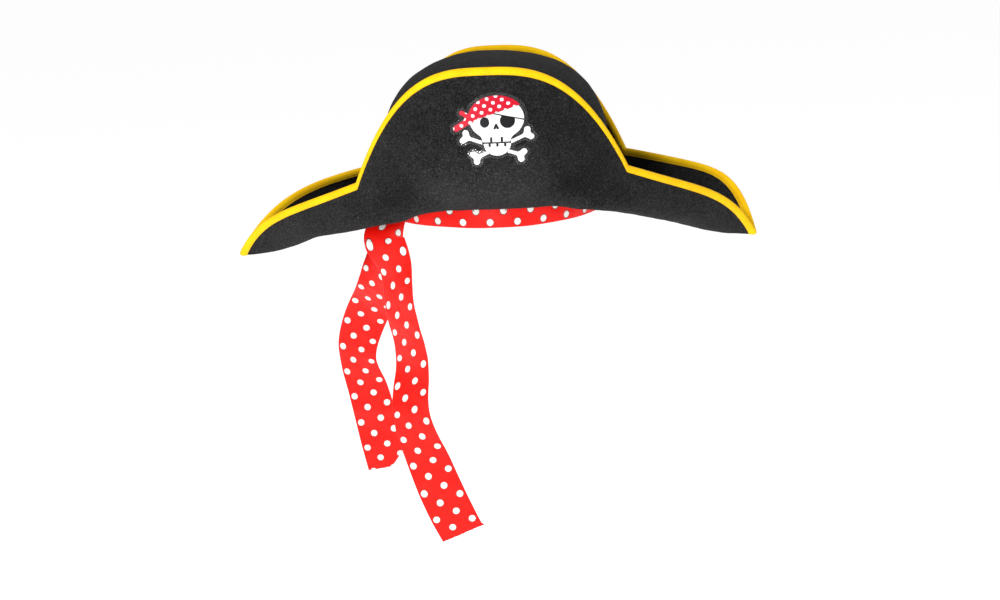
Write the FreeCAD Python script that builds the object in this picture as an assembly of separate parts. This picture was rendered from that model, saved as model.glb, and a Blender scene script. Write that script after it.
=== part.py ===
"""A felt pirate hat with a dotted ribbon, in millimetres.

The origin is the middle of the head opening, in the plane where the crown is sewn to the brim.
+X is the wing on the right as seen from the front, -Y is the front and +Z is up.
The hat hangs on a head, so the ribbon tails reach far below the origin.
"""
import FreeCAD, Part
import math
import os

# Driving dimensions of the felt.
HEAD_HALF_WIDTH = 92.0      # crown wall, middle of the felt, along X
HEAD_HALF_DEPTH = 98.0      # the same, along Y
CROWN_HEIGHT = 102.0
CROWN_FULLNESS = 3.0        # power of the height in the dome's formula
CROWN_SHOULDER = 0.38       # power of the radius in the dome's formula
FELT = 2.5                  # felt thickness
FELT_BLOCK = 250.0          # size of the blocks that part the crown into quarters
WING_REACH = 205.0          # middle of the hat to a wing tip, along X
FLAP_REACH = 110.0          # middle of the hat to a flap's top edge, along Y
FRONT_TOP = 104.5           # height of the front flap's edge over the middle
REAR_TOP = 95.0             # height of the rear flap's edge over the middle
HUMP_POWER = 2.9            # how square the middle hump of a flap's edge is
WING_TIP_Z = {-1: -53.0, 1: -49.0}
WING_SAG = {-1: 58.0, 1: 52.0}
# Edge of a flap beyond its hump, by side and then by front (1) or rear (-1):
# the notch's distance from the middle, its height, the straight share of the fall, and its end power.
NOTCH = {
    (1, 1): (103.0, 23.5, 0.62, 6.0),
    (-1, 1): (98.5, 17.5, 0.66, 6.0),
    (1, -1): (106.0, 9.5, 0.22, 9.0),
    (-1, -1): (94.0, 4.0, 0.30, 4.5),
}
SEAM_GAP = 0.15             # left between pieces that are sewn face to face

# Edge tape: a U of woven tape, folded over the brim's edge.
TAPE = 0.9
TAPE_LEG = 5.0              # length of each leg beyond the fold
TAPE_CLEARANCE = 0.15

# Dotted satin ribbon.
RIBBON = 0.6
RIBBON_WIDTH = 35.0
BAND_TOP = 15.0
BAND_BOTTOM = -16.5
BAND_INSET = 3.2            # crown wall's middle to the band's middle

TAIL_ROOT_GAP = 3.4         # band's outer face to the middle of a tail where it is sewn on
TAIL_LEVEL_ROOT = 30.0      # length over which a tail's cut top stays level
# Middle line of each tail: X, Y, Z, and the turn of its width from the X axis in degrees.
# Each tail starts along the band's oval and then twists to hang flat.
FRONT_TAIL = [
    (-73.0, -61.4, -12.0, 53.0),
    (-78.5, -62.0, -18.0, 38.0),
    (-83.5, -63.0, -26.0, 24.0),
    (-80.0, -66.0, -40.0, 28.0),
    (-75.5, -68.0, -60.0, 42.0),
    (-70.5, -70.0, -90.0, 44.0),
    (-68.0, -72.0, -124.0, 40.0),
    (-68.5, -72.0, -152.0, 34.0),
    (-66.5, -72.0, -174.0, 26.0),
    (-61.0, -72.0, -198.0, 14.0),
    (-49.5, -72.0, -229.0, 0.0),
    (-33.0, -72.0, -267.0, 0.0),
]
REAR_TAIL = [
    (-89.7, -26.3, -10.0, 75.5),
    (-91.5, -25.0, -28.0, 72.0),
    (-92.5, -17.0, -52.0, 55.0),
    (-96.0, -6.0, -78.0, 34.0),
    (-107.5, 14.0, -104.0, 20.0),
    (-119.5, 32.0, -136.0, 22.0),
    (-120.0, 38.0, -157.0, 20.0),
    (-115.0, 42.0, -184.0, 5.0),
    (-108.5, 42.0, -212.0, 0.0),
    (-101.5, 42.0, -249.0, 0.0),
]

# Sewing thread.
THREAD = 0.5
BINDING_STITCH = 4.5
BINDING_STITCHES = 96
SEAM_STITCH = 7.0
SEAM_STITCHES = 48
BAND_STITCH = 4.5
BAND_STITCHES = 60

# Badge on the front flap, a die-cut clear film with a printed skull, bones and kerchief.
BADGE_X = 5.0
BADGE_Z = 60.0
BADGE_FILM = 0.4
BADGE_INK = 0.2
BADGE_GAP = 0.05

BRIM_STATIONS = 72
BRIM_POINTS = 13
# The brim's panels, each 30 degrees of the way round, from +X by the rear.
BRIM_PANELS = [
    "wing_rear_right", "shoulder_rear_right", "flap_rear_right",
    "flap_rear_left", "shoulder_rear_left", "wing_rear_left",
    "wing_front_left", "shoulder_front_left", "flap_front_left",
    "flap_front_right", "shoulder_front_right", "wing_front_right",
]


def vector(x, y, z):
    """Return a FreeCAD vector."""
    return FreeCAD.Vector(x, y, z)


def ease(value):
    """Return a value from 0 to 1 that starts and ends level."""
    value = min(1.0, max(0.0, value))
    return value * value * (3.0 - 2.0 * value)


def ring_point(angle, inset, z):
    """Return a point on the head opening's oval, moved in by inset, at height z."""
    return vector(
        (HEAD_HALF_WIDTH - inset) * math.cos(angle),
        (HEAD_HALF_DEPTH - inset) * math.sin(angle),
        z,
    )


# ---------------------------------------------------------------- thin solids

def patch(grid, ring=False):
    """Return a smooth face drawn by a grid of control points, closed along its rows if it is a ring."""
    rows, columns = len(grid), len(grid[0])
    if ring:
        row_repeats = [1] * (rows + 1)
        row_degree = 3
    else:
        row_degree = min(3, rows - 1)
        row_repeats = [row_degree + 1] + [1] * (rows - row_degree - 1) + [row_degree + 1]
    column_degree = min(3, columns - 1)
    column_repeats = [column_degree + 1] + [1] * (columns - column_degree - 1) + [column_degree + 1]
    surface = Part.BSplineSurface()
    surface.buildFromPolesMultsKnots(
        grid,
        row_repeats,
        column_repeats,
        [float(i) for i in range(len(row_repeats))],
        [float(i) for i in range(len(column_repeats))],
        ring,
        False,
        row_degree,
        column_degree,
    )
    return surface.toShape()


def closed_solid(faces):
    """Sew faces that share their edges into one solid that points outwards."""
    sewn = Part.makeCompound(faces)
    sewn.sewShape()
    solid = Part.Solid(sewn.Shells[0])
    if solid.Volume < 0:
        solid.reverse()
    return solid


def ring_between(outer, inner):
    """Return the solid between two grids that are closed along their rows."""
    faces = [patch(outer, True), patch(inner, True)]
    for column in (0, -1):
        faces.append(patch([[a[column], b[column]] for a, b in zip(outer, inner)], True))
    return closed_solid(faces)


def sheet_between(outer, inner):
    """Return the solid between two open grids."""
    faces = [patch(outer), patch(inner)]
    for column in (0, -1):
        faces.append(patch([[a[column], b[column]] for a, b in zip(outer, inner)]))
    for row in (0, -1):
        faces.append(patch([[a, b] for a, b in zip(outer[row], inner[row])]))
    return closed_solid(faces)


def grid_normals(grid, ring):
    """Return the unit normal at every point of a grid."""
    rows, columns = len(grid), len(grid[0])
    result = []
    for i in range(rows):
        before = (i - 1) % rows if ring else max(i - 1, 0)
        after = (i + 1) % rows if ring else min(i + 1, rows - 1)
        line = []
        for j in range(columns):
            along = grid[after][j] - grid[before][j]
            across = grid[i][min(j + 1, columns - 1)] - grid[i][max(j - 1, 0)]
            line.append(along.cross(across).normalize())
        result.append(line)
    return result


def moved(grid, directions, distance):
    """Return a grid moved along its normals."""
    return [
        [point + direction * distance for point, direction in zip(row, line)]
        for row, line in zip(grid, directions)
    ]


def bar(start, end, across, width, height):
    """Return a small flat bar of thread from start to end, as wide as stated along across."""
    length = end - start
    x_axis = FreeCAD.Vector(length).normalize()
    z_axis = x_axis.cross(across).normalize()
    y_axis = z_axis.cross(x_axis)
    box = Part.makeBox(length.Length, width, height, vector(0, -width / 2, -height / 2))
    matrix = FreeCAD.Matrix(
        x_axis.x, y_axis.x, z_axis.x, start.x,
        x_axis.y, y_axis.y, z_axis.y, start.y,
        x_axis.z, y_axis.z, z_axis.z, start.z,
        0, 0, 0, 1,
    )
    box.Placement = FreeCAD.Placement(matrix)
    return box


# ---------------------------------------------------------------- felt

def crown_profile(offset):
    """Return points of the dome from its bottom to its top, moved outwards by offset."""
    def point(t):
        height = math.sin(t * math.pi / 2)
        radius = max(0.0, 1.0 - height ** CROWN_FULLNESS) ** CROWN_SHOULDER
        return vector(HEAD_HALF_WIDTH * radius, 0, CROWN_HEIGHT * height)

    steps = [0.0, 0.12, 0.25, 0.38, 0.5, 0.6, 0.69, 0.77, 0.84, 0.9, 0.945, 0.975]
    points = []
    for t in steps:
        tangent = (point(t + 0.002) - point(max(t - 0.002, 0.0))).normalize()
        outward = vector(tangent.z, 0, -tangent.x)
        points.append(point(t) + outward * offset)
    points[0] = vector(HEAD_HALF_WIDTH + offset, 0, FELT / 2 + SEAM_GAP)
    points.append(vector(0, 0, CROWN_HEIGHT + offset))
    return points


def felt_crown():
    """Return the dome of the hat: a turned shell stretched to the head's oval."""
    edges = []
    curves = []
    for offset in (FELT / 2, -FELT / 2):
        curve = Part.BSplineCurve()
        curve.interpolate(
            Points=crown_profile(offset),
            InitialTangent=vector(0, 0, 60),
            FinalTangent=vector(-60, 0, 0),
        )
        curves.append(curve)
        edges.append(curve.toShape())
    outer, inner = curves
    edges.append(Part.makeLine(outer.StartPoint, inner.StartPoint))
    edges.append(Part.makeLine(outer.EndPoint, inner.EndPoint))
    profile = Part.Face(Part.Wire(Part.__sortEdges__(edges)))
    dome = profile.revolve(vector(0, 0, 0), vector(0, 0, 1), 360)
    stretch = FreeCAD.Matrix()
    stretch.scale(1, HEAD_HALF_DEPTH / HEAD_HALF_WIDTH, 1)
    return dome.transformGeometry(stretch)


def edge_height(x, front):
    """Return the height of a flap's edge at x: a square hump in the middle, then a wing."""
    side = 1 if x >= 0 else -1
    notch_x, notch_z, straight, power = NOTCH[(side, 1 if front else -1)]
    top = FRONT_TOP if front else REAR_TOP
    reach = abs(x)
    if reach < notch_x:
        return notch_z + (top - notch_z) * (1.0 - (reach / notch_x) ** HUMP_POWER)
    share = (reach - notch_x) / (WING_REACH - notch_x)
    fall = straight * share + (1.0 - straight) * share ** power
    return notch_z + (WING_TIP_Z[side] - notch_z) * fall


def brim_curve(angle):
    """Return the four control points of the brim's fold at an angle round the head."""
    c, s = math.cos(angle), math.sin(angle)
    side = 1 if c >= 0 else -1
    seam = ring_point(angle, 0, 0)
    reach = WING_REACH * c
    edge = vector(reach, FLAP_REACH * math.copysign(s * s, s), edge_height(reach, s <= 0))
    below_seam = seam + vector(30 * c, 30 * s, -(4 + 24 * c * c))
    lowest = -WING_SAG[side] * ease((abs(reach) - 35) / 175)
    drop = 30 * abs(s) + 0.45 * (edge.z - lowest)
    below_edge = edge + vector(-40 * math.copysign(abs(c) ** 3, c), 25 * s, -drop)
    return seam, below_seam, below_edge, edge


def brim_point(angle, t):
    """Return the point of the brim's middle surface at share t from the seam to the edge."""
    seam, below_seam, below_edge, edge = brim_curve(angle)
    u = 1.0 - t
    return seam * u ** 3 + below_seam * (3 * u * u * t) + below_edge * (3 * u * t * t) + edge * t ** 3


def brim_angles():
    """Return the angles of the brim's stations."""
    return [2 * math.pi * i / BRIM_STATIONS for i in range(BRIM_STATIONS)]


def share_at(angle, distance):
    """Return the share t of the point at a distance in from the edge, along the brim's fold."""
    steps = 200
    previous = brim_point(angle, 1.0)
    walked = 0.0
    for i in range(1, steps + 1):
        t = 1.0 - i / steps
        point = brim_point(angle, t)
        walked += (point - previous).Length
        if walked >= distance:
            return t
        previous = point
    return 0.0


def crown_quarters():
    """Return the crown cut into four quarters that meet face to face, by name.

    The real crown is one piece. Each quarter is simple enough for its own few convex hulls.
    """
    crown = felt_crown()
    quarters = {}
    for x_name, corner_x in (("right", 0.0), ("left", -FELT_BLOCK)):
        for y_name, corner_y in (("rear", 0.0), ("front", -FELT_BLOCK)):
            block = Part.makeBox(FELT_BLOCK, FELT_BLOCK, FELT_BLOCK)
            block.translate(vector(corner_x, corner_y, 0))
            quarters[f"felt_crown_{y_name}_{x_name}"] = crown.common(block)
    return quarters


def brim_panels():
    """Return the brim, a ring of felt whose front and rear are folded up, in panels by name.

    The real brim is one piece. The panels are sectors that share their end sections, so they meet
    face to face, and each is simple enough for its own few convex hulls.
    """
    grid = [
        [brim_point(angle, j / (BRIM_POINTS - 1)) for j in range(BRIM_POINTS)]
        for angle in brim_angles()
    ]
    directions = grid_normals(grid, True)
    outer, inner = moved(grid, directions, FELT / 2), moved(grid, directions, -FELT / 2)
    panels = {}
    stations = BRIM_STATIONS // len(BRIM_PANELS)
    for number, name in enumerate(BRIM_PANELS):
        rows = [i % BRIM_STATIONS for i in range(number * stations, (number + 1) * stations + 1)]
        panels[f"felt_brim_{name}"] = sheet_between([outer[i] for i in rows], [inner[i] for i in rows])
    return panels


# ---------------------------------------------------------------- edge tape and thread

def edge_frames():
    """Return, for every station, points of the brim at set distances in from its edge, with normals."""
    distances = [TAPE_LEG, 0.7 * TAPE_LEG, 0.4 * TAPE_LEG, 0.15 * TAPE_LEG, 0.0]
    grid = [
        [brim_point(angle, share_at(angle, d) if d else 1.0) for d in distances]
        for angle in brim_angles()
    ]
    return grid, grid_normals(grid, True)


def tape_grid(radius):
    """Return a U-shaped grid round the brim's edge, at a distance of radius from its middle."""
    grid, directions = edge_frames()
    result = []
    for row, line in zip(grid, directions):
        edge, normal = row[-1], line[-1]
        out = (row[-1] - row[-2]).normalize()
        near = [point + direction * radius for point, direction in zip(row, line)]
        far = [point - direction * radius for point, direction in zip(row, line)]
        cap = []
        for degrees in (30, 60, 90, 120, 150):
            turn = math.radians(degrees)
            cap.append(edge + normal * (radius * math.cos(turn)) + out * (radius * math.sin(turn)))
        result.append(near + cap + far[::-1])
    return result


def edge_binding():
    """Return the tape that is folded over the brim's edge all the way round."""
    inner = FELT / 2 + TAPE_CLEARANCE
    return ring_between(tape_grid(inner + TAPE), tape_grid(inner))


def binding_stitches():
    """Return the stitches that run along both legs of the edge tape."""
    rise = FELT / 2 + TAPE_CLEARANCE + TAPE + 0.3 + THREAD / 2
    inset = 0.72 * TAPE_LEG
    count = BINDING_STITCHES
    bars = []
    for i in range(count):
        angle = 2 * math.pi * (i + 0.5) / count
        step = 0.01
        point = brim_point(angle, share_at(angle, inset))
        ahead = brim_point(angle + step, share_at(angle + step, inset))
        inward = brim_point(angle, share_at(angle, inset + 1.5))
        along = (ahead - point).normalize()
        normal = along.cross(inward - point).normalize()
        half = along * (BINDING_STITCH / 2)
        for side in (1, -1):
            middle = point + normal * (side * rise)
            bars.append(bar(middle - half, middle + half, normal.cross(along), THREAD, THREAD))
    return Part.makeCompound(bars)


def crown_seam_stitches():
    """Return the upright stitches inside the hat that join the crown to the brim."""
    inset = FELT / 2 + 0.2 + THREAD / 2
    bars = []
    for i in range(SEAM_STITCHES):
        angle = 2 * math.pi * i / SEAM_STITCHES
        low = ring_point(angle, inset, -SEAM_STITCH / 2)
        high = ring_point(angle, inset, SEAM_STITCH / 2)
        across = vector(-math.sin(angle), math.cos(angle), 0)
        bars.append(bar(low, high, across, THREAD, THREAD))
    return Part.makeCompound(bars)


# ---------------------------------------------------------------- ribbon

def ribbon_band():
    """Return the ribbon's turn round the inside of the head opening."""
    heights = [BAND_BOTTOM + (BAND_TOP - BAND_BOTTOM) * j / 4 for j in range(5)]
    rings = []
    for inset in (BAND_INSET - RIBBON / 2, BAND_INSET + RIBBON / 2):
        rings.append([[ring_point(angle, inset, z) for z in heights] for angle in brim_angles()])
    return ring_between(*rings)


def band_stitches():
    """Return the running stitches that hold the ribbon's band in the crown."""
    inset = BAND_INSET + RIBBON / 2 + 0.35 + THREAD / 2
    bars = []
    for i in range(BAND_STITCHES):
        angle = 2 * math.pi * i / BAND_STITCHES
        middle = ring_point(angle, inset, BAND_TOP - 4)
        along = (ring_point(angle + 0.01, inset, BAND_TOP - 4) - middle).normalize()
        half = along * (BAND_STITCH / 2)
        bars.append(bar(middle - half, middle + half, vector(0, 0, 1), THREAD, THREAD))
    return Part.makeCompound(bars)


def tail_frames(stations, count=48):
    """Return the middle, the width's direction and the run of a tail at evenly spread places."""
    places = [vector(*station[:3]) for station in stations]
    lengths = [0.0]
    for previous, place in zip(places, places[1:]):
        lengths.append(lengths[-1] + (place - previous).Length)
    line = Part.BSplineCurve()
    line.interpolate(Points=places, Parameters=lengths)
    turns = Part.BSplineCurve()
    turns.interpolate(Points=[vector(station[3], length, 0) for station, length in zip(stations, lengths)],
                      Parameters=lengths)
    frames = []
    for i in range(count):
        length = lengths[-1] * i / (count - 1)
        run = line.tangent(length)[0]
        turn = math.radians(turns.value(length).x)
        level = (vector(1, 0, 0) - run * run.x).normalize()
        width = level * math.cos(turn) + run.cross(level) * math.sin(turn)
        width.z *= ease(length / TAIL_LEVEL_ROOT)
        width.normalize()
        frames.append((line.value(length), width, run))
    return frames


def ribbon_tail(stations):
    """Return one hanging end of the ribbon."""
    faces = []
    for side in (0.5, -0.5):
        grid = []
        for middle, width, run in tail_frames(stations):
            normal = run.cross(width)
            row = [middle + width * (RIBBON_WIDTH * share) + normal * (RIBBON * side)
                   for share in (-0.5, -0.25, 0.0, 0.25, 0.5)]
            grid.append(row)
        faces.append(grid)
    return sheet_between(*faces)


def tail_tack(stations):
    """Return the threads that hold a tail's top against the outside of the band."""
    middle = tail_frames(stations)[0][0]
    root = math.atan2(middle.y / HEAD_HALF_DEPTH, middle.x / HEAD_HALF_WIDTH)
    start = BAND_INSET - RIBBON / 2 - 0.3
    end = BAND_INSET - RIBBON / 2 - TAIL_ROOT_GAP + RIBBON / 2 + 0.6
    bars = []
    for step in (-0.12, -0.04, 0.04, 0.12):
        low, high = (ring_point(root + step, inset, middle.z - 2) for inset in (start, end))
        bars.append(bar(low, high, vector(0, 0, 1), THREAD, THREAD))
    return Part.makeCompound(bars)


# ---------------------------------------------------------------- badge

def badge_layer(low, high):
    """Return a thin layer over the front flap, between two heights above the felt's middle."""
    rows = []
    for i in range(13):
        x = BADGE_X + 45.0 * (i - 6) / 6
        angle = -math.acos(x / WING_REACH)
        rows.append([brim_point(angle, 0.4 + 0.6 * j / 12) for j in range(13)])
    directions = grid_normals(rows, False)
    sign = 1 if directions[6][6].y < 0 else -1
    return sheet_between(moved(rows, directions, sign * high), moved(rows, directions, sign * low))


def outline(points):
    """Return a block along Y whose outline is straight runs between points from the badge's centre."""
    corners = [vector(BADGE_X + x, -FLAP_REACH - 60, BADGE_Z + z) for x, z in points]
    return Part.Face(Part.makePolygon(corners + corners[:1])).extrude(vector(0, 120, 0))


def disc(x, z, radius, squash=1.0):
    """Return an oval block along Y, given from the badge's centre."""
    steps = 24
    points = []
    for i in range(steps):
        turn = 2 * math.pi * i / steps
        points.append((x + radius * math.cos(turn), z + radius * squash * math.sin(turn)))
    return outline(points)


def bone(x0, z0, x1, z1):
    """Return a bone as a block along Y: a shaft with two knobs at each end."""
    run = vector(x1 - x0, 0, z1 - z0).normalize()
    side = vector(-run.z, 0, run.x)
    shaft = outline([
        (x0 + side.x * 1.8, z0 + side.z * 1.8),
        (x1 + side.x * 1.8, z1 + side.z * 1.8),
        (x1 - side.x * 1.8, z1 - side.z * 1.8),
        (x0 - side.x * 1.8, z0 - side.z * 1.8),
    ])
    knobs = []
    for x, z in ((x0, z0), (x1, z1)):
        for way in (1, -1):
            knobs.append(disc(x + side.x * 2.4 * way, z + side.z * 2.4 * way, 3.1))
    return shaft.fuse(knobs).removeSplitter()


def stamped(block, layer):
    """Return the part of a layer that lies inside a block."""
    return block.common(layer)


def badge_blocks():
    """Return the blocks that cut the badge's pieces out of their layers."""
    head = disc(0, 5, 15.0, 0.86).fuse([disc(-5, -7, 6.0), disc(5, -7, 6.0)]).removeSplitter()
    kerchief = disc(0, 8.5, 17.0, 0.88).cut(outline([(-40, -2), (40, 18), (40, -40), (-40, -40)]))
    kerchief = kerchief.fuse([disc(-19, 1.0, 3.2), outline([(-19, 2), (-29, 6), (-30, -2), (-19, -1)])])
    kerchief = kerchief.removeSplitter()
    bones = bone(-17, -20, 23, -5).fuse([bone(-23, -7, 18, -19)]).removeSplitter()
    bones = bones.cut(head).cut(kerchief)
    film = disc(0, 5, 21.0, 0.98).fuse([
        disc(-17, -19, 9.0), disc(22, -7, 9.0), disc(-23, -6, 9.0), disc(17, -19, 9.0),
        disc(0, -14, 14.0), disc(-24, 2, 9.0),
    ]).removeSplitter()
    head = head.cut(kerchief)
    dots = [disc(x, z, 1.2) for x, z in
            ((-12, 10), (-6, 15), (0, 19), (7, 20), (-3, 10), (4, 14), (11, 17), (-9, 5), (2, 8.5), (10, 12))]
    features = [
        disc(-6.0, 1.0, 3.6), disc(6.5, 2.0, 5.0),
        outline([(-1.4, -5.5), (1.4, -5.5), (0.0, -2.6)]),
        outline([(-7.5, -9.2), (7.5, -9.2), (7.5, -10.2), (-7.5, -10.2)]),
    ]
    return film, head, bones, kerchief, dots, features


def badge():
    """Return the badge's pieces by name."""
    film, head, bones, kerchief, dots, features = badge_blocks()
    base = FELT / 2 + BADGE_GAP
    ink = base + BADGE_FILM + BADGE_GAP
    top = ink + BADGE_INK + BADGE_GAP
    film_layer = badge_layer(base, base + BADGE_FILM)
    ink_layer = badge_layer(ink, ink + BADGE_INK)
    top_layer = badge_layer(top, top + BADGE_INK)
    return {
        "badge_film": stamped(film, film_layer),
        "badge_skull": stamped(head, ink_layer),
        "badge_bones": stamped(bones, ink_layer),
        "badge_kerchief": stamped(kerchief, ink_layer),
        "badge_kerchief_dots": Part.makeCompound([stamped(dot, top_layer) for dot in dots]),
        "badge_features": Part.makeCompound([stamped(feature, top_layer) for feature in features]),
    }


# ---------------------------------------------------------------- label and writing

def care_label():
    """Return the blank care label, sewn in behind the band at the rear."""
    inset = BAND_INSET + RIBBON / 2 + THREAD + 0.8
    rings = []
    for depth in (inset, inset + 0.3):
        grid = []
        for i in range(5):
            angle = math.pi / 2 + (i - 2) * 0.07
            grid.append([ring_point(angle, depth, BAND_TOP + 3 - 10 * j) for j in range(4)])
        rings.append(grid)
    return sheet_between(*rings)


def build():
    """Return every piece of the hat by its node's name."""
    pieces = {
        "edge_binding": edge_binding(),
        "binding_stitches": binding_stitches(),
        "crown_seam_stitches": crown_seam_stitches(),
        "ribbon_band": ribbon_band(),
        "band_stitches": band_stitches(),
        "ribbon_tail_front": ribbon_tail(FRONT_TAIL),
        "ribbon_tail_rear": ribbon_tail(REAR_TAIL),
        "tail_tack_front": tail_tack(FRONT_TAIL),
        "tail_tack_rear": tail_tack(REAR_TAIL),
        "care_label": care_label(),
    }
    pieces.update(crown_quarters())
    pieces.update(brim_panels())
    pieces.update(badge())
    return pieces


def main():
    """Write one STEP file for every piece."""
    os.makedirs("parts", exist_ok=True)
    for name, shape in build().items():
        shape.exportStep(f"parts/{name}.step")
        state = "valid" if shape.isValid() else "NOT VALID"
        print(f"{name:22s} {len(shape.Solids):4d} solids {shape.Volume:10.1f} mm3 {state}")


main()
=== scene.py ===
"""Looks of a felt pirate hat with a dotted satin ribbon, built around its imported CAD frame.

Every length is in metres, in the frame's axes: +X from wing to wing, -Y to the front, +Z up,
with the origin in the middle of the head opening.
"""

import logging
import math
import random
from dataclasses import dataclass, field
from enum import Enum
from typing import Callable, Iterable

import bmesh
import bpy
import numpy as np
from mathutils import Matrix, Vector, noise


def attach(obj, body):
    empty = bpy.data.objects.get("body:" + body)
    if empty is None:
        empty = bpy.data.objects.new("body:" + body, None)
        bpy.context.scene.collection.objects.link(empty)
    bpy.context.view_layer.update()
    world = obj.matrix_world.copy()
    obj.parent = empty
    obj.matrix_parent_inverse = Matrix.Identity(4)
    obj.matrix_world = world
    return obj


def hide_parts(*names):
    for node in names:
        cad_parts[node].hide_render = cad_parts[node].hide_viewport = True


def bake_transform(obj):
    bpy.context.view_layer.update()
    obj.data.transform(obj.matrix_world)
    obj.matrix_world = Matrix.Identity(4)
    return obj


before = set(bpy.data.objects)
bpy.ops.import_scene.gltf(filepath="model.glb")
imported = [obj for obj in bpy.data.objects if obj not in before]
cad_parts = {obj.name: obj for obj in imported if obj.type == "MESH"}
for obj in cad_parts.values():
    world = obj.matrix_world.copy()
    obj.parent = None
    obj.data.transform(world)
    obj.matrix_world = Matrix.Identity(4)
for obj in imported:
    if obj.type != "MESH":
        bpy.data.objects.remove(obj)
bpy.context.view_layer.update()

logging.basicConfig(level=logging.INFO, format="%(name)s: %(message)s")
LOG = logging.getLogger("hat")
MM = 0.001


# ---------------------------------------------------------------- shader graphs

class Number:
    """A number that varies over a surface; its operators add Math nodes."""

    def __init__(self, graph: "Graph", socket: bpy.types.NodeSocket) -> None:
        """Wrap a socket of a graph."""
        self.graph = graph
        self.socket = socket

    def _math(self, operation: str, *values: "Number | float") -> "Number":
        """Add a Math node that works on values."""
        inputs = dict(enumerate(values))
        node = self.graph.node("ShaderNodeMath", {"operation": operation}, inputs)
        return Number(self.graph, node.outputs[0])

    def __add__(self, other: "Number | float") -> "Number":
        """Return self + other."""
        return self._math("ADD", self, other)

    __radd__ = __add__

    def __sub__(self, other: "Number | float") -> "Number":
        """Return self - other."""
        return self._math("SUBTRACT", self, other)

    def __rsub__(self, other: float) -> "Number":
        """Return other - self."""
        return self._math("SUBTRACT", other, self)

    def __mul__(self, other: "Number | float") -> "Number":
        """Return self * other."""
        return self._math("MULTIPLY", self, other)

    __rmul__ = __mul__

    def __truediv__(self, other: "Number | float") -> "Number":
        """Return self / other."""
        return self._math("DIVIDE", self, other)

    def floor(self) -> "Number":
        """Return the whole number below."""
        return self._math("FLOOR", self)

    def wrap(self, period: float) -> "Number":
        """Return self brought into a period from 0."""
        return self._math("FLOORED_MODULO", self, period)

    def waves(self, length: float) -> "Number":
        """Return a sine from -1 to 1 that repeats every length of self."""
        return self._math("SINE", self * (2 * math.pi / length))

    def ribs(self, length: float) -> "Number":
        """Return waves from 0 to 1, one for each length of self."""
        return self.waves(length) * 0.5 + 0.5

    def size(self) -> "Number":
        """Return self without its sign."""
        return self._math("ABSOLUTE", self)

    def root(self) -> "Number":
        """Return the square root of self."""
        return self._math("SQRT", self)

    def below(self, edge: float, blur: float) -> "Number":
        """Return 1 where self is under edge and 0 over it, eased over a width of blur."""
        return self.graph.ramp(self, edge - blur / 2, edge + blur / 2, 1.0, 0.0)

    def above(self, edge: float, blur: float) -> "Number":
        """Return 0 where self is under edge and 1 over it, eased over a width of blur."""
        return self.graph.ramp(self, edge - blur / 2, edge + blur / 2, 0.0, 1.0)


Colour = tuple[float, float, float]


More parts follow.
